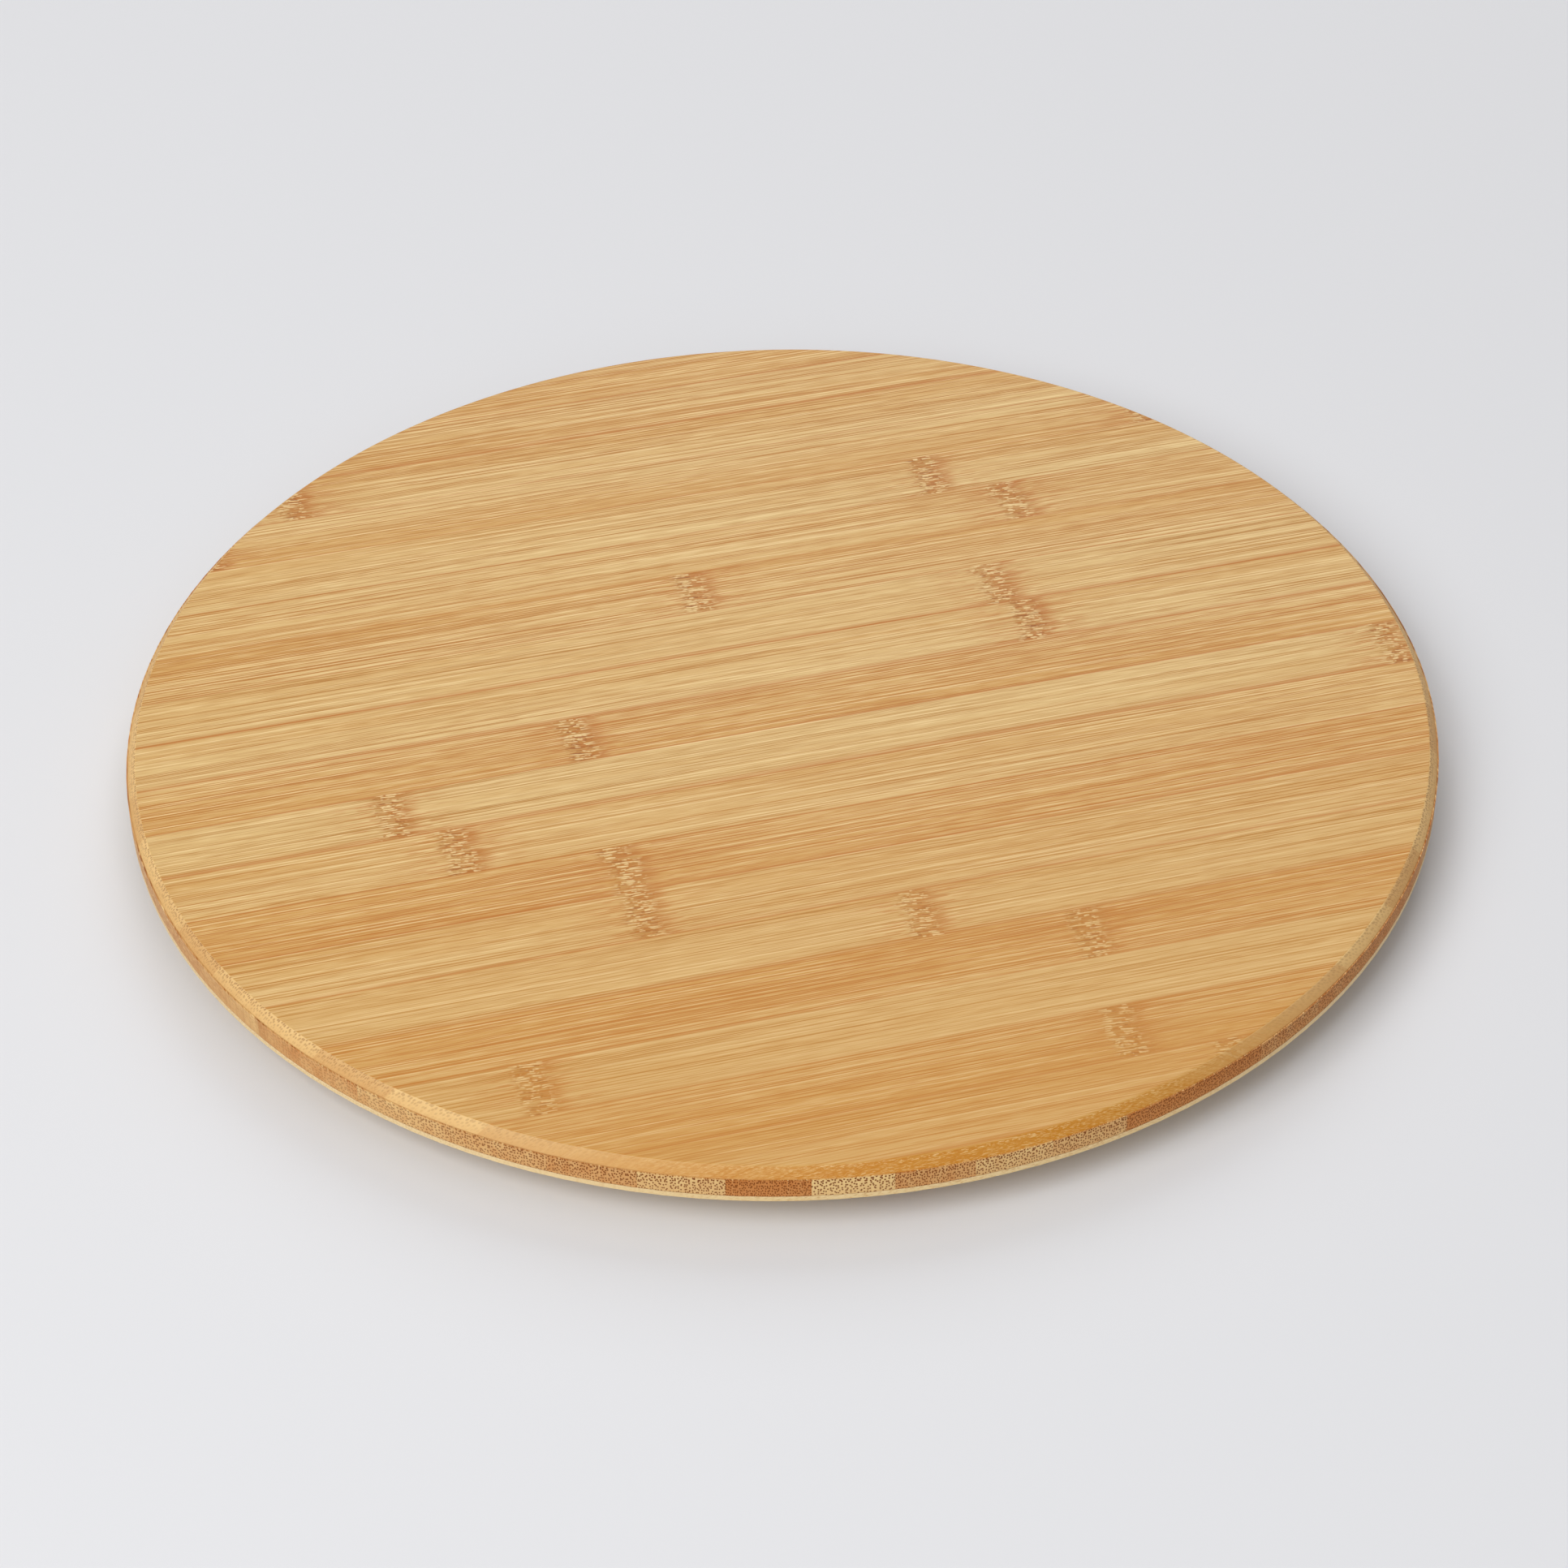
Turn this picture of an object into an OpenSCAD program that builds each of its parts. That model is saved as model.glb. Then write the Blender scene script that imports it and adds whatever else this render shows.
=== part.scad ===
// Lazy susan turntable.
// A round bamboo board turns on a wide, flat ring bearing that stands on rubber pads.
// The origin lies on the table, under the middle of the board, and +Z is up.
// The fibres of the board's two face plies run along X and those of its core run along Y.

/* [Board] */
// Diameter of the board at its widest, which is the edge of its core
board_d = 400; // [330:1:480]
// Thickness of the top ply
top_ply_t = 3; // [2.4:0.1:4]
// Thickness of the cross-grain core
core_ply_t = 6; // [5:0.1:8]
// Thickness of the bottom ply
bottom_ply_t = 3; // [2.4:0.1:4]
// Width of the bevel between the top face and the rim
rim_bevel_w = 2.4; // [1:0.1:4]
// Ledge where the bevel stops short of the core
rim_ledge = 0.4; // [0.1:0.05:1]
// Chamfer around the underside of the board
rim_chamfer = 1.3; // [0.5:0.1:2]

/* [Pads] */
// Number of rubber pads under the bearing
pad_count = 6; // [3:1:8]
// Diameter of a pad
pad_d = 10; // [8:0.1:11]
// Height that the pads hold the bearing above the table
pad_drop = 1.5; // [1.2:0.1:3]
// Depth of the round seat that each pad is glued in
pad_seat = 0.8; // [0.4:0.1:1]
// Radius of the rounded lower edge of a pad
pad_round = 0.5; // [0.2:0.1:1]

/* [Bearing] */
// Diameter of the circle that the balls' middles lie on
race_d = 270; // [180:1:290]
// Diameter of a ball
ball_d = 5; // [4.5:0.1:5.5]
// Number of balls
ball_count = 24; // [12:1:36]
// Thickness of each ring
ring_t = 7.9; // [7.2:0.1:10]
// Width of each ring
ring_w = 13.4; // [11.5:0.1:16]
// Small chamfer on the rings' edges
ring_chamfer = 0.5; // [0.2:0.1:0.8]
// Distance between the two rings' facing walls
race_gap = 3.2; // [2.8:0.1:3.6]
// Thickness of the cage that spaces the balls
cage_t = 1.6; // [1.2:0.1:1.9]

/* [Screws] */
// Number of screws that hold the inner ring under the board
screw_count = 6; // [3:1:8]
// Diameter of those screws
screw_d = 3.5; // [3:0.1:4]
// Head diameter of those screws
screw_head_d = 7; // [6.2:0.1:8]
// How far those screws reach into the board
screw_bite = 7; // [5:0.1:7]

/* [Clearances] */
// Height gap that keeps the standing ring off the board
ring_gap = 0.6; // [0.4:0.1:1]
// Gap all round between a ball and its groove
ball_fit = 0.05; // [0.01:0.01:0.1]
// Gap all round between a ball and its pocket in the cage
pocket_fit = 0.3; // [0.2:0.05:0.4]
// Gap all round between a screw's shank and a clearance hole
shank_fit = 0.1; // [0.05:0.05:0.3]
// Gap all round between a screw's thread and the hole it grips
thread_fit = 0.02; // [0:0.01:0.05]
// Depth that a countersunk head lies below its surface
head_sink = 0.2; // [0:0.05:0.4]
// Gap all round a pad in its seat
seat_fit = 0.1; // [0.05:0.05:0.3]

/* [Hidden] */
$fn = 96;
rim_fn = 240;
drop = 1;

face_bamboo = "#d9b67c";
core_bamboo = "#b98a52";
aluminium = "#c4c7ca";
zinc = "#b3b6b8";
nylon = "#ecebe4";
steel = "#9fa3a7";
black_rubber = "#26272a";

board_r = board_d / 2;
ball_r = ball_d / 2;
race_r = race_d / 2;
pad_r = pad_d / 2;

outer_ring_z = pad_drop;
board_z = outer_ring_z + ring_t + ring_gap;
inner_ring_z = board_z - ring_t;
core_z = board_z + bottom_ply_t;
top_z = core_z + core_ply_t;
ball_z = (outer_ring_z + board_z) / 2;
cage_h = ring_t - ring_gap;

inner_ring_out = race_r - race_gap / 2;
inner_ring_in = inner_ring_out - ring_w;
outer_ring_in = race_r + race_gap / 2;
screw_ring = inner_ring_in + (ring_w - ball_r + race_gap / 2) / 2;
pad_ring = outer_ring_in + ring_w / 2;
pad_top_z = outer_ring_z + pad_seat;
pad_turn = 180 / pad_count;

function numbered(name, i) = str(name, i < 10 ? "0" : "", i);

// Places a copy of its children at each of count equal steps around a circle
module around(count, radius, turn = 0)
    for (i = [0:count - 1])
        rotate([0, 0, turn + i * 360 / count]) translate([radius, 0, 0]) children();

// Turned shape from an outline of radii and heights
module turned(outline) rotate_extrude($fn = rim_fn) polygon(outline);

// Disc with a chamfer of its own around the lower and the upper edge
module disc(radius, z, t, low = 0, high = 0)
    turned([[0, z], [radius - low, z], [radius, z + low], [radius, z + t - high],
            [radius - high, z + t], [0, z + t]]);

// Cross-shaped driver slot in a screw head, cut upwards from its lower face
module driver_slot(head_d, depth) {
    for (a = [0, 90])
        rotate([0, 0, a]) translate([-head_d * 0.3, -head_d * 0.07, -drop])
            cube([head_d * 0.6, head_d * 0.14, depth + drop]);
    cylinder(d1 = head_d * 0.36, d2 = head_d * 0.16, h = depth);
}

// Countersunk screw with its head's face at z = 0 and its shank pointing up
module flat_screw(d, head_d, length) {
    cone_h = (head_d - d) / 2;
    difference() {
        union() {
            cylinder(d1 = head_d, d2 = d, h = cone_h);
            cylinder(d = d, h = length - d / 2);
            translate([0, 0, length - d / 2]) cylinder(d1 = d, d2 = d / 3, h = d / 2);
        }
        driver_slot(head_d, cone_h * 0.8);
    }
}

// Hole for a countersunk head that lies head_sink below the surface at z = 0
module flat_screw_hole(d, head_d, length) {
    cone_h = (head_d - d) / 2;
    translate([0, 0, -drop]) cylinder(d = head_d, h = head_sink + drop);
    translate([0, 0, head_sink]) cylinder(d1 = head_d, d2 = d, h = cone_h);
    cylinder(d = d + 2 * shank_fit, h = length);
}

// Ring with four small chamfers and, around its race wall, the balls' groove
module bearing_ring(inside, z)
    difference() {
        turned([[inside + ring_chamfer, z], [inside + ring_w - ring_chamfer, z],
                [inside + ring_w, z + ring_chamfer], [inside + ring_w, z + ring_t - ring_chamfer],
                [inside + ring_w - ring_chamfer, z + ring_t], [inside + ring_chamfer, z + ring_t],
                [inside, z + ring_t - ring_chamfer], [inside, z + ring_chamfer]]);
        rotate_extrude($fn = rim_fn) translate([race_r, ball_z]) circle(r = ball_r + ball_fit, $fn = 64);
    }

// Holes in the board for the threads of the screws under it
module board_screw_holes()
    around(screw_count, screw_ring)
        translate([0, 0, board_z - drop])
            cylinder(d = screw_d + 2 * thread_fit, h = screw_bite + drop);

module top_ply()
    color(face_bamboo)
        turned([[0, top_z], [board_r - rim_ledge, top_z],
                [board_r - rim_ledge - rim_bevel_w, top_z + top_ply_t], [0, top_z + top_ply_t]]);

module core_ply()
    color(core_bamboo) difference() {
        disc(board_r, core_z, core_ply_t);
        board_screw_holes();
    }

module bottom_ply()
    color(face_bamboo) difference() {
        disc(board_r, board_z, bottom_ply_t, low = rim_chamfer);
        board_screw_holes();
    }

module inner_ring()
    color(aluminium) difference() {
        bearing_ring(inner_ring_in, inner_ring_z);
        around(screw_count, screw_ring)
            translate([0, 0, inner_ring_z]) flat_screw_hole(screw_d, screw_head_d, ring_t + drop);
    }

module board_screws()
    color(zinc)
        around(screw_count, screw_ring)
            translate([0, 0, inner_ring_z + head_sink])
                flat_screw(screw_d, screw_head_d, ring_t - head_sink + screw_bite);

module ball_cage()
    color(nylon) difference() {
        turned([[race_r - cage_t / 2, ball_z - cage_h / 2], [race_r + cage_t / 2, ball_z - cage_h / 2],
                [race_r + cage_t / 2, ball_z + cage_h / 2], [race_r - cage_t / 2, ball_z + cage_h / 2]]);
        around(ball_count, race_r)
            translate([-cage_t, 0, ball_z]) rotate([0, 90, 0])
                cylinder(r = ball_r + pocket_fit, h = 2 * cage_t);
    }

module ball(i)
    color(steel)
        rotate([0, 0, (i - 1) * 360 / ball_count]) translate([race_r, 0, ball_z]) sphere(r = ball_r);

module outer_ring()
    color(aluminium) difference() {
        bearing_ring(outer_ring_in, outer_ring_z);
        around(pad_count, pad_ring, pad_turn)
            translate([0, 0, outer_ring_z - drop]) cylinder(r = pad_r + seat_fit, h = pad_seat + drop);
    }

module rubber_pad(i)
    color(black_rubber)
        rotate([0, 0, pad_turn + (i - 1) * 360 / pad_count]) translate([pad_ring, 0, 0]) {
            cylinder(r = pad_r - pad_round, h = pad_top_z);
            translate([0, 0, pad_round]) cylinder(r = pad_r, h = pad_top_z - pad_round);
            rotate_extrude() translate([pad_r - pad_round, pad_round]) circle(r = pad_round, $fn = 48);
        }

top_ply();
core_ply();
bottom_ply();
inner_ring();
board_screws();
ball_cage();
for (i = [1:ball_count]) ball(i);
outer_ring();
for (i = [1:pad_count]) rubber_pad(i);
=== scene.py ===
import math

import bmesh
import bpy
from mathutils import Matrix, Vector


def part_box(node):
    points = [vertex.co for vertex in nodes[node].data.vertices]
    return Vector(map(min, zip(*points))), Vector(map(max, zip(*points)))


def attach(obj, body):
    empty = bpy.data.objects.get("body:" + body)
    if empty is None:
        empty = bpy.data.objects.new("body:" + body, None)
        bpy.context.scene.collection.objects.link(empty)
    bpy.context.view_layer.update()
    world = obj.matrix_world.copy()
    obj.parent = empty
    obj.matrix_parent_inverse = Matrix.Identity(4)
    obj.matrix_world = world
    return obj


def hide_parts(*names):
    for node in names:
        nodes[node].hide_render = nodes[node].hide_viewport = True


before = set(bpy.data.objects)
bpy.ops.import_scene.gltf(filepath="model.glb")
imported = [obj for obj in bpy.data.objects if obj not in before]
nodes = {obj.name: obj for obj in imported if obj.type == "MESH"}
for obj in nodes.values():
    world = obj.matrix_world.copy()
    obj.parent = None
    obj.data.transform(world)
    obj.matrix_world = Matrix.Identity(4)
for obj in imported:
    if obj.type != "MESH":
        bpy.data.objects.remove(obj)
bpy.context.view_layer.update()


# ---------------------------------------------------------------- board, top face ply
# Bamboo strips 21 mm wide lie flat, bark side up, glued edge to edge with their fibres along X.
# The blank is turned round and its rim is bevelled down to the joint with the core, which leaves a
# small ledge. The face is sanded and rubbed with oil.

scene = bpy.context.scene
MM = 0.001


class Shade:
    """One socket of a material. Arithmetic on it adds Math nodes to that material."""

    def __init__(self, tree, socket=None):
        self.tree = tree
        self.socket = socket

    def node(self, kind, settings=None, sockets=None, out=0):
        """Adds a node: its settings first, then the values or links of its sockets."""
        made = self.tree.nodes.new("ShaderNode" + kind)
        for name, value in (settings or {}).items():
            if name == "stops":
                ramp = made.color_ramp
                while len(ramp.elements) < len(value):
                    ramp.elements.new(1.0)
                for element, (place, colour) in zip(ramp.elements, value):
                    element.position = place
                    element.color = colour
            elif name == "blend":
                made.color_ramp.interpolation = value
            else:
                setattr(made, name, value)
        for key, value in (sockets or {}).items():
            if isinstance(value, Shade):
                self.tree.links.new(value.socket, made.inputs[key])
            else:
                made.inputs[key].default_value = value
        return Shade(self.tree, made.outputs[out])

    def also(self, out):
        """Another output of the node that this socket belongs to."""
        return Shade(self.tree, self.socket.node.outputs[out])

    def math(self, operation, *values):
        return self.node("Math", {"operation": operation}, dict(enumerate(values)))

    def __add__(self, other):
        return self.math("ADD", self, other)

    def __radd__(self, other):
        return self.math("ADD", other, self)

    def __sub__(self, other):
        return self.math("SUBTRACT", self, other)

    def __rsub__(self, other):
        return self.math("SUBTRACT", other, self)

    def __mul__(self, other):
        return self.math("MULTIPLY", self, other)

    def __rmul__(self, other):
        return self.math("MULTIPLY", other, self)

    def __truediv__(self, other):
        return self.math("DIVIDE", self, other)

    def __pow__(self, other):
        return self.math("POWER", self, other)

    def size(self):
        """This without its sign."""
        return self.math("ABSOLUTE", self)

    def floor(self):
        """The whole number at or below this."""
        return self.math("FLOOR", self)

    def ramp(self, low, high):
        """0 where this is below low and 1 where it is above high, with a smooth step between."""
        return self.node("MapRange", {"interpolation_type": "SMOOTHSTEP"},
                         {"Value": self, "From Min": low, "From Max": high})

    def mix(self, first, second):
        """The first colour where this is 0 and the second where it is 1."""
        return self.node("Mix", {"data_type": "RGBA"}, {0: self, 6: first, 7: second}, out=2)

    def point(self, x, y, z):
        return self.node("CombineXYZ", None, {"X": x, "Y": y, "Z": z})

    def place(self):
        """Where the shaded point is on its piece, as three values in millimetres."""
        parts = self.node("SeparateXYZ", None, {"Vector": self.node("TexCoord", out="Object")})
        return parts * 1000, parts.also(1) * 1000, parts.also(2) * 1000

    def bump(self, strength, depth):
        """A normal that follows this as a relief, in which a step of 1 is depth metres high."""
        return self.node("Bump", None, {"Strength": strength, "Distance": depth, "Height": self})

    def cloud(self, x, y, z, detail=2.0, roughness=0.5):
        """Soft noise from 0 to 1 about 0.5, with features of about one unit."""
        return self.node("TexNoise", None, {"Vector": self.point(x, y, z), "Scale": 1.0,
                                            "Detail": detail, "Roughness": roughness})

    def chance(self, number):
        """A random value from 0 to 1 that belongs to a whole number."""
        return self.node("TexWhiteNoise", {"noise_dimensions": "1D"}, {"W": number}, out="Value")

    def lines(self, u, v, pitch, width, length, seed):
        """Thin lines along u, about one to each pitch of v, that come and go along their length."""
        count = v / pitch
        number = count.floor()
        drawn = self.chance(number + seed)
        aside = count - number - 0.2 - drawn * 0.6
        body = 1 - (aside.size() * (pitch / width)).ramp(0.35, 1.0)
        life = self.cloud(u / length + drawn * 50, number * 7.31, seed, 2.0, 0.55)
        return body * life.ramp(0.47, 0.57)


def linear(red, green, blue):
    """A colour given in 0 to 255 screen values, as the shader takes it."""
    def one(c):
        c = c / 255
        return c / 12.92 if c <= 0.04045 else ((c + 0.055) / 1.055) ** 2.4
    return (one(red), one(green), one(blue), 1.0)


def new_finish(name, **constants):
    """A material whose shader has the given constants, with the Shade that its nodes start from."""
    finish = bpy.data.materials.new(name)
    finish.use_nodes = True
    shader = finish.node_tree.nodes["Principled BSDF"]
    for key, value in constants.items():
        shader.inputs[key.replace("_", " ")].default_value = value
    return finish, Shade(finish.node_tree), shader


def feed(shader, **links):
    """Links values that change over the surface to the shader's sockets."""
    for key, value in links.items():
        shader.id_data.links.new(value.socket, shader.inputs[key.replace("_", " ")])


def bamboo(name, fibres, strips, span, knuckles, tones, colours, seed, dots, gloss, front_shade_strength=0.0):
    """Solid bamboo: bundles of fibres run along one axis through the whole thickness, so a face cut
    along them shows streaks and a face cut across them shows dots. Lengths in it are millimetres.
    strips is the first strip's edge and the pitch, and span the heights of the ply's two faces."""
    first_edge, pitch = strips
    low, high = span
    faint, strong = dots
    pale, honey, golden, brown, dark, glint, pale_end, dark_end, oiled = (linear(*c) for c in colours)
    amber_shade_colour = linear(204, 142, 48)
    node_step = 316
    bundle_pitch = 0.85

    finish, start, shader = new_finish(name, Specular_IOR_Level=gloss)
    x, y, z = start.place()
    facing = start.node("SeparateXYZ", None, {"Vector": start.node("TexCoord", out="Normal")})
    along, across = (x, y) if fibres == "X" else (y, x)

    # How squarely the face here cuts the fibres, how far it slopes, and how high it is in the ply.
    level = (1 - facing.also(2) ** 2) ** 0.5 + 0.02
    lengthways = facing.also(0 if fibres == "X" else 1) / level
    squareness = lengthways.size() * (level - 0.02).ramp(0.1, 0.4)
    cut = squareness.ramp(0.15, 0.6)
    slope = 1 - facing.also(2).size().ramp(0.5, 0.97)
    height = (z - low) / (high - low)

    # Each strip has its own number, which shifts its grain and picks its tone and its knuckle.
    count = (across - first_edge) / pitch
    strip = count.floor()
    inside = count - strip
    chance = start.chance(strip + seed)
    other = start.chance(strip * 3.7 + seed + 50.5)
    share = 1 / len(knuckles)
    lookup = strip * share + share / 2
    tone_stops = [(i * share, (t, t, t, 1)) for i, t in enumerate(tones)]
    tone = start.node("ValToRGB", {"blend": "CONSTANT", "stops": tone_stops}, {"Fac": lookup})
    # A ramp holds 0 to 1, so it stores a knuckle's place in metres, with 0.5 added.
    shares = [k / 1000 + 0.5 for k in knuckles]
    knuckle_stops = [(i * share, (s, s, s, 1)) for i, s in enumerate(shares)]
    stored = start.node("ValToRGB", {"blend": "CONSTANT", "stops": knuckle_stops}, {"Fac": lookup})
    knuckle = (stored - 0.5) * 1000

    # Knuckle: the fibres of a strip swerve where a leaf node was, once in every node_step.
    wobble = (start.cloud(across / 5, chance * 40, 0.0, 1.0) - 0.5) * 7
    travel = along - knuckle + node_step / 2
    turns = travel / node_step
    near = travel - turns.floor() * node_step - node_step / 2 + wobble
    away = near.size()
    knot = 1 - away.ramp(2.5, 7.5)

    # Bundles: one to a cell of the cross-section. They wander across the strip and rise and sink in it.
    wander = (start.cloud(along / 120, across / 30, chance * 9) - 0.5) * 3
    swerve = (start.cloud(along / 5, across / 2.4, chance * 31) - 0.5) * knot * 1.6
    sink = (start.cloud(along / 70, across / 1.6, other * 9) - 0.5) * 2.6
    v = across + wander + swerve + other * 500
    w = z + sink * (1 - cut) + other * 90
    u = along + chance * 700
    crowd = 1 + tone * 0.5
    cell = start.node("TexVoronoi", {"voronoi_dimensions": "2D", "feature": "F1"},
                      {"Vector": start.point(v * crowd / bundle_pitch, w, 0.0), "Scale": 1.0,
                       "Randomness": 0.75}, out="Distance")
    bundle = 1 - cell.ramp(0.18 + height * 0.06, 0.36 + height * 0.06)

    # Streaks: where the face cuts a bundle lengthways it shows as a thin line, dark or pale.
    steady = across + wander * 0.3 + swerve + other * 500
    strokes = start.lines(u, steady, pitch=1.15, width=0.26, length=130, seed=seed)
    threads = start.lines(u, steady + 0.4, pitch=0.7, width=0.2, length=75, seed=seed + 7.7)
    glints = start.lines(u, steady + 0.2, pitch=1.3, width=0.28, length=100, seed=seed + 3.3)
    hair = start.cloud(u / 9, v / 0.3, w / 0.6, 1.0)
    bands = start.cloud(u / 260, steady / 3.0, w / 5, 1.0)
    broad = start.cloud(u / 320, v / 14, w / 20, 1.0)
    busy = (bands + tone * 0.25).ramp(0.46, 0.76)

    # Colour: pale and honey bands, then hairs, threads and strokes, darker on a browner strip.
    line_colour = tone.mix(golden, brown)
    lean = (inside - 0.5) * (chance - 0.5)
    warmth = tone * 1.1 + lean * 2.2 + (bands - 0.5) * 1.2 + (broad - 0.5)
    colour = warmth.ramp(-0.3, 1.3).mix(pale, honey)
    colour = (glints * (0.95 - busy * 0.2)).mix(colour, glint)
    colour = (hair.ramp(0.5, 0.7) * (0.3 + busy * 0.25)).mix(colour, line_colour)
    colour = ((1 - hair.ramp(0.3, 0.48)) * 0.4).mix(colour, glint)
    colour = (threads * (0.45 + busy * 0.5)).mix(colour, line_colour)
    colour = (strokes * (0.6 + busy * 0.4)).mix(colour, line_colour)

    # Glue lines between the strips, some of them beside a brown band, as chance has it.
    gap = inside.math("MINIMUM", inside, 1 - inside) * pitch
    stain = (1 - (inside * pitch).ramp(0.2, 1.2 + bands * 3)) * other.ramp(0.35, 0.9)
    stain = stain * (0.4 + strokes * 0.4)
    joint = (1 - gap.ramp(0.1, 0.45)) * (0.35 + other * 0.55)
    colour = stain.mix(colour, brown)
    colour = joint.mix(colour, brown)

    # A knuckle is flecked on one side and brown on the other, and its brown runs out along the grain.
    smudge = start.cloud(along / 12, v / 0.6, chance * 17, 2.0)
    flecked = 1 - (near + 1.0).size().ramp(2.5, 6.0)
    stained = 1 - (near - 2.5).size().ramp(1.5, 7.5)
    skewed = v + along * 0.08
    lit_ridges = start.lines(along, skewed, pitch=0.85, width=0.36, length=3.4, seed=seed + 5.1)
    shaded_hollows = start.lines(along + 1.2, skewed + 0.4, pitch=0.85, width=0.34, length=3.4, seed=seed + 6.2)
    runs = start.lines(along, v, pitch=0.8, width=0.3, length=14, seed=seed + 9.1)
    tail = (1 - away.ramp(3.0, 26.0)) * runs
    rough = flecked * 0.7 + knot * 0.3
    colour = (tail * 0.85).mix(colour, brown)
    colour = (knot * (0.25 + smudge * 0.5)).mix(colour, golden)
    colour = (stained * smudge.ramp(0.4, 0.58) * 0.75).mix(colour, brown)
    # Painted shade: dark lines beside each of the knuckle's ridges. Painted highlight: pale glint on the
    # ridges, which are also pale flecks.
    colour = (rough * shaded_hollows * 0.85).mix(colour, brown)
    colour = (rough * shaded_hollows * smudge.ramp(0.42, 0.6) * 0.6).mix(colour, dark)
    colour = (rough * lit_ridges * 0.95).mix(colour, glint)

    # Partly tone and partly painted shade: the board is painted more amber toward its front, which catches
    # less sheen than its back.
    front_amber_shade = (0 - across).ramp(-20, 230) * 0.5
    colour = (front_amber_shade * front_shade_strength).mix(colour, amber_shade_colour)

    # Cut ends: paler or darker by the strip, with every bundle a dot.
    end_tone = (tone + (bands - 0.5) * 0.5).ramp(0.0, 1.0).mix(pale_end, dark_end)
    colour = (cut * 0.85).mix(colour, end_tone)

    # A cut that slants along the fibres is rough and soaks up oil, and it is flecked with pale ends.
    # Toward the arris the pale flecks grow and are partly a painted highlight.
    slant = slope * (1 - cut)
    chip = start.cloud(along / 1.3, (across + w) / 0.24, chance * 13, 1.0)
    colour = (slope * (0.9 - cut * (0.6 + height * 0.25))).mix(colour, oiled)
    # Partly painted highlight: pale glint flecks, stronger toward the top of the slanting cut.
    colour = (slant * chip.ramp(0.56, 0.62) * (0.45 + height.ramp(0.55, 0.95) * 0.5)).mix(colour, glint)
    colour = (slant * (1 - chip.ramp(0.34, 0.44)) * 0.6).mix(colour, brown)
    colour = (bundle * squareness.ramp(0.3, 0.95) * (faint + height * (strong - faint))).mix(colour, dark)
    seam = (1 - (z - low).ramp(0.05, 0.22)) * slope * cut
    colour = (seam * 0.6).mix(colour, dark)

    relief = hair * 0.3 - strokes * 0.4 - bundle * (cut * 0.6)
    relief = relief + flecked * (lit_ridges - shaded_hollows) * 2.0 + slant * chip * 0.8
    dull = 0.42 + hair * 0.1 + strokes * 0.06 + cut * 0.12
    feed(shader, Base_Color=colour, Roughness=dull, Normal=relief.bump(strength=0.4, depth=0.06 * MM))
    return finish


def heights(node):
    """The lowest and the highest point of a CAD node, in millimetres."""
    low_corner, high_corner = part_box(node)
    return low_corner.z / MM, high_corner.z / MM


def carry(node, finish):
    """Gives a CAD node's object its finish."""
    nodes[node].data.materials.clear()
    nodes[node].data.materials.append(finish)


def add_piece(name, shape, finish, body, slot, *replaced):
    """Makes an object of a finished mesh, sets it on its body and hides the CAD nodes that it replaces."""
    bmesh.ops.recalc_face_normals(shape, faces=shape.faces)
    mesh = bpy.data.meshes.new(name)
    shape.to_mesh(mesh)
    shape.free()
    mesh.materials.append(finish)
    piece = bpy.data.objects.new(name, mesh)
    scene.collection.objects.link(piece)
    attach(piece, body)
    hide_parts(*replaced)


rim_bevel_w = 2.4 * MM
arris_round = 0.35 * MM
rim_steps = 360
face_strips = (-196.2, 20.83)

# One knuckle along X and one tone, from pale to brown, for each strip from the board's front to its back
board_knuckles = [83, 57, -107, 60, 15, -62, -63, -108, -124, -63,
                  87, 82, -12, 100, 78, 158, -127, 158, 158, 158]
board_tones = [0.6, 0.8, 0.15, 0.9, 0.15, 0.35, 0.85, 0.4, 0.1, 0.7,
               0.3, 0.2, 0.55, 0.5, 0.3, 0.5, 0.4, 0.5, 0.6, 0.5]
# Colours of the grain from pale to dark and its glint, then of pale and dark cut ends and the oiled bevel
face_colours = [(226, 190, 124), (210, 158, 80), (182, 126, 44), (190, 112, 22), (136, 74, 14),
                (244, 212, 150), (240, 202, 138), (222, 178, 118), (200, 130, 22)]
face_bamboo = bamboo("face_bamboo", "X", face_strips, heights("top_ply"), board_knuckles, board_tones,
                     face_colours, seed=3.0, dots=(0.05, 0.6), gloss=0.35, front_shade_strength=1.0)

top_ply = bmesh.new()
top_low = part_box("top_ply")[0].z
board_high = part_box("top_ply")[1].z
ledge_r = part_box("top_ply")[1].x
ply_t = board_high - top_low
bmesh.ops.create_cone(top_ply, cap_ends=True, segments=rim_steps, radius1=ledge_r,
                      radius2=ledge_r - rim_bevel_w, depth=ply_t,
                      matrix=Matrix.Translation((0, 0, top_low + ply_t / 2)))
arris = [e for e in top_ply.edges if min(v.co.z for v in e.verts) > board_high - MM / 100]
bmesh.ops.bevel(top_ply, geom=arris, offset=arris_round, affect="EDGES", segments=4, profile=0.5,
                material=-1)
for face in top_ply.faces:
    face.smooth = len(face.verts) == 4
for edge in top_ply.edges:
    edge.smooth = all(face.smooth for face in edge.link_faces)
add_piece("board_top_ply", top_ply, face_bamboo, "turntable", "face_bamboo", "top_ply")


# ---------------------------------------------------------------- board, core ply
# The core's strips cross the face's at a right angle, so the rim shows their cut ends at the front
# and their long side at the left and right. The core is glued between the two face plies.

core_strips = (-221.7, 22.4)
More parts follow.
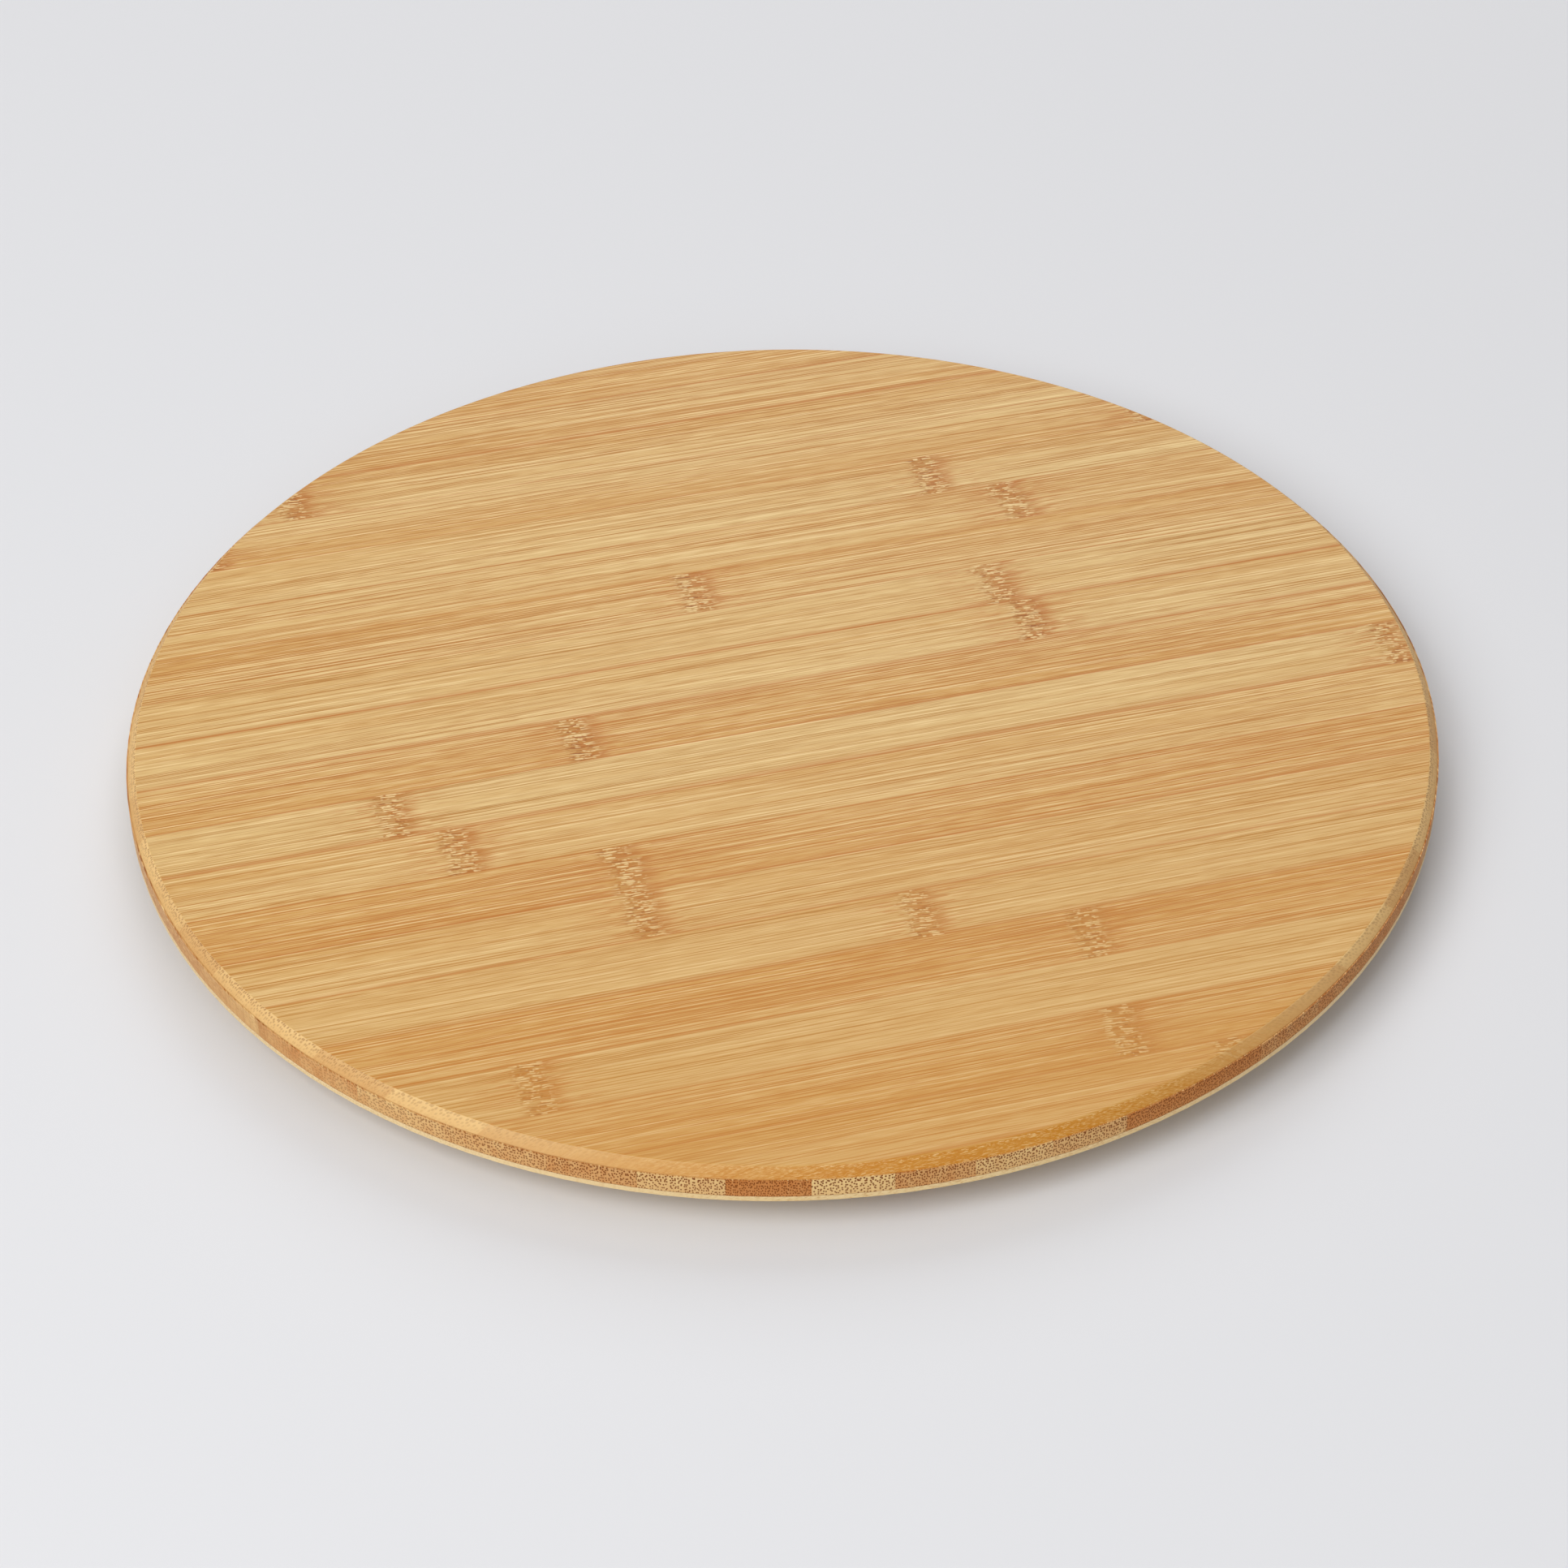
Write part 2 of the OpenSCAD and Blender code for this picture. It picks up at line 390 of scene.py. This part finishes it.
# The core's knuckles lie in one row, a little in front of the middle
core_knuckles = [300] * 20
core_tones = [0.5, 0.3, 0.6, 0.4, 0.5, 0.6, 0.3, 0.95, 0.05, 0.6,
              0.3, 0.4, 0.95, 1.0, 0.7, 0.75, 0.8, 0.7, 0.6, 0.5]
core_colours = [(222, 180, 115), (190, 118, 54), (176, 110, 44), (150, 88, 36), (124, 60, 8),
                (242, 210, 146), (242, 210, 146), (200, 126, 62), (204, 148, 92)]
core_bamboo = bamboo("core_bamboo", "Y", core_strips, heights("core_ply"), core_knuckles, core_tones,
                     core_colours, seed=11.0, dots=(0.85, 1.0), gloss=0.12)
carry("core_ply", core_bamboo)


# ---------------------------------------------------------------- board, bottom face ply
# The bottom ply's strips run with the top one's, in even, pale bamboo. Its lower edge is chamfered, so
# it shows from above only as a pale line under the core.

# The bottom ply's knuckles lie in one row too, a little to the left of the middle
under_knuckles = [300] * 20
under_tones = [0.3] * 20
under_colours = [(236, 206, 150), (226, 190, 128), (214, 168, 104), (200, 146, 84), (170, 120, 66),
                 (240, 214, 164), (240, 214, 164), (230, 196, 140), (234, 206, 150)]
under_bamboo = bamboo("under_bamboo", "X", face_strips, heights("bottom_ply"), under_knuckles, under_tones,
                      under_colours, seed=23.0, dots=(0.1, 0.3), gloss=0.3)
carry("bottom_ply", under_bamboo)


# ---------------------------------------------------------------- ring bearing, inner ring
# A flat ring of drawn aluminium, turned on a lathe, which leaves fine round tool marks, then
# anodised. Six countersunk screws hold it under the board.

def turned_aluminium(name, seed):
    """Satin metal with round tool marks, a few rubs that cross them and a dull film of dust."""
    finish, start, shader = new_finish(name, Metallic=1.0)
    x, y, z = start.place()
    radius = (x * x + y * y) ** 0.5
    angle = y.math("ARCTAN2", y, x)
    marks = start.cloud(radius / 0.16, z / 0.16, angle * 1.5 + seed, 2.0)
    passes = start.cloud(radius / 1.3, z / 1.1, seed * 3.0, 1.0)
    film = start.cloud(x / 22, y / 22, z / 6 + seed, 4.0, 0.6)
    rubs = start.cloud(x / 0.9, y / 14, z / 3 + seed, 2.0)
    rubbed = rubs.ramp(0.62, 0.7)
    colour = (passes * 0.5 + film * 0.5).ramp(0.3, 0.7).mix(linear(186, 189, 192), linear(214, 216, 217))
    colour = (rubbed * 0.3).mix(colour, linear(232, 233, 234))
    relief = marks * 0.6 + passes * 0.5 - rubbed * 0.3
    dull = 0.26 + film * 0.2 + marks * 0.08
    feed(shader, Base_Color=colour, Roughness=dull, Normal=relief.bump(strength=0.25, depth=0.04 * MM))
    return finish


carry("inner_ring", turned_aluminium("inner_ring_aluminium", seed=2.0))


# ---------------------------------------------------------------- board screws
# Countersunk steel wood screws, zinc plated and passivated, with a cross slot that has painted shade,
# darker inwards.

zinc, zinc_start, zinc_shader = new_finish("screw_zinc", Metallic=1.0)
x, y, z = zinc_start.place()
head_low = heights("board_screws")[0]
blotch = zinc_start.cloud(x / 1.6, y / 1.6, z / 1.6, 3.0, 0.6)
scratch = zinc_start.cloud(x / 0.25, y / 2.5, z / 0.5, 2.0)
# Painted shade: the zinc is painted dark grey deeper than the head's face, in the cross slot.
sunk_shade = (z - head_low).ramp(0.25, 1.3)
plated = blotch.ramp(0.35, 0.65).mix(linear(192, 196, 200), linear(216, 212, 196))
plated = (sunk_shade * 0.55).mix(plated, linear(96, 96, 94))
zinc_bump = (scratch + blotch * 0.5).bump(strength=0.3, depth=0.03 * MM)
feed(zinc_shader, Base_Color=plated, Roughness=0.28 + blotch * 0.24, Normal=zinc_bump)
carry("board_screws", zinc)


# ---------------------------------------------------------------- ball cage
# A thin moulded hoop of natural nylon between the rings. It spaces the balls in round pockets and is
# filmed with grease near them.

nylon, nylon_start, nylon_shader = new_finish("cage_nylon", Specular_IOR_Level=0.5)
x, y, z = nylon_start.place()
flow = nylon_start.cloud(x / 9, y / 9, z / 2, 3.0)
speck = nylon_start.cloud(x / 0.4, y / 0.4, z / 0.4, 2.0)
moulded = flow.ramp(0.3, 0.7).mix(linear(236, 234, 224), linear(222, 219, 205))
moulded = (speck.ramp(0.68, 0.75) * 0.4).mix(moulded, linear(160, 155, 140))
nylon_bump = (speck + flow).bump(strength=0.2, depth=0.05 * MM)
feed(nylon_shader, Base_Color=moulded, Roughness=0.38 + flow * 0.2, Normal=nylon_bump)
carry("ball_cage", nylon)


# ---------------------------------------------------------------- balls
# Hardened steel balls, ground and polished. Each has a thin, uneven film of grease.

chrome_steel, ball_start, ball_shader = new_finish("ball_steel", Metallic=1.0)
x, y, z = ball_start.place()
grease = ball_start.cloud(x / 1.8, y / 1.8, z / 1.8, 3.0, 0.6)
polish = grease.ramp(0.45, 0.7).mix(linear(206, 208, 210), linear(186, 180, 164))
feed(ball_shader, Base_Color=polish, Roughness=0.07 + grease.ramp(0.42, 0.72) * 0.22)
for node in nodes:
    if node.startswith("ball_") and node != "ball_cage":
        carry(node, chrome_steel)


# ---------------------------------------------------------------- ring bearing, outer ring
# The wider ring stands on the pads and doesn't turn. It is made as the inner one is.

carry("outer_ring", turned_aluminium("outer_ring_aluminium", seed=7.0))


# ---------------------------------------------------------------- rubber pads
# Six black rubber discs glued into round seats under the outer ring. Their faces have a fine moulded
# grain, rubbed grey on the outside where they meet the table.

rubber, rubber_start, rubber_shader = new_finish("pad_rubber", Specular_IOR_Level=0.35)
x, y, z = rubber_start.place()
grain = 0.35
stipple = rubber_start.node("TexVoronoi", {"feature": "F1"},
                            {"Vector": rubber_start.point(x / grain, y / grain, z / grain), "Scale": 1.0},
                            out="Distance")
dust = rubber_start.cloud(x / 2.6, y / 2.6, z / 2.6, 4.0, 0.65)
worn = (1 - z.ramp(0.0, 0.35)) * dust.ramp(0.4, 0.65)
black = dust.ramp(0.4, 0.75).mix(linear(30, 31, 33), linear(52, 52, 53))
black = (worn * 0.6).mix(black, linear(98, 97, 95))
rubber_bump = stipple.bump(strength=0.5, depth=0.08 * MM)
feed(rubber_shader, Base_Color=black, Roughness=0.62 + dust * 0.25, Normal=rubber_bump)
for node in nodes:
    if node.startswith("rubber_pad_"):
        carry(node, rubber)


# ---------------------------------------------------------------- studio
# A pale seamless floor, a camera high at the front left, a broad soft light at its left, and weaker
# fill from the front, from above and from behind.

floor_width = 30
floor_colour = (0.80, 0.805, 0.82, 1)
bpy.ops.mesh.primitive_plane_add(size=floor_width)
floor = bpy.context.object
floor.name = "floor"
floor_finish = new_finish("floor_paper", Base_Color=floor_colour, Roughness=0.9, Specular_IOR_Level=0.1)[0]
floor.data.materials.append(floor_finish)

view_turn = math.radians(-14.0)
view_drop = math.radians(39.76)
view_roll = math.radians(-0.94)
view_distance = 1.2441
aim_right = 0.75 * MM
aim_down = 23.35 * MM
camera_axes = Matrix.Rotation(view_turn, 3, "Z") @ Matrix.Rotation(math.pi / 2 - view_drop, 3, "X")
camera_axes = camera_axes @ Matrix.Rotation(view_roll, 3, "Z")
right, up, back = camera_axes.col
aim = Vector((0, 0, board_high)) + right * aim_right - up * aim_down
eye = aim + back * view_distance
camera_data = bpy.data.cameras.new("camera")
camera_data.lens = 93.17
camera_data.sensor_width = 36
camera = bpy.data.objects.new("camera", camera_data)
scene.collection.objects.link(camera)
camera.matrix_world = Matrix.Translation(eye) @ camera_axes.to_4x4()
scene.camera = camera
scene.view_settings.view_transform = "Standard"

world = bpy.data.worlds.new("world")
scene.world = world
world.use_nodes = True
sky = world.node_tree.nodes["Background"]
sky.inputs["Color"].default_value = (0.98, 0.965, 1.0, 1)
sky.inputs["Strength"].default_value = 0.23


def soft_light(name, turn, rise, size, power, distance=3.0):
    """A rectangular soft box that faces the object. A turn of 0 is by the camera, and 90 at its right."""
    lamp = bpy.data.lights.new(name, "AREA")
    lamp.shape = "RECTANGLE"
    lamp.size, lamp.size_y = size
    lamp.energy = power
    holder = bpy.data.objects.new(name, lamp)
    scene.collection.objects.link(holder)
    turn = view_turn + math.radians(turn)
    rise = math.radians(rise)
    level = distance * math.cos(rise)
    holder.location = (level * math.sin(turn), -level * math.cos(turn), distance * math.sin(rise))
    holder.rotation_euler = (-holder.location).to_track_quat("-Z", "Y").to_euler()


soft_light("key", turn=-45, rise=45, size=(2.0, 2.0), power=50)
soft_light("front_fill", turn=0, rise=35, size=(2.5, 2.0), power=19)
soft_light("top_fill", turn=0, rise=89, size=(2.5, 2.5), power=10)
soft_light("back_fill", turn=175, rise=40, size=(2.0, 2.0), power=29)
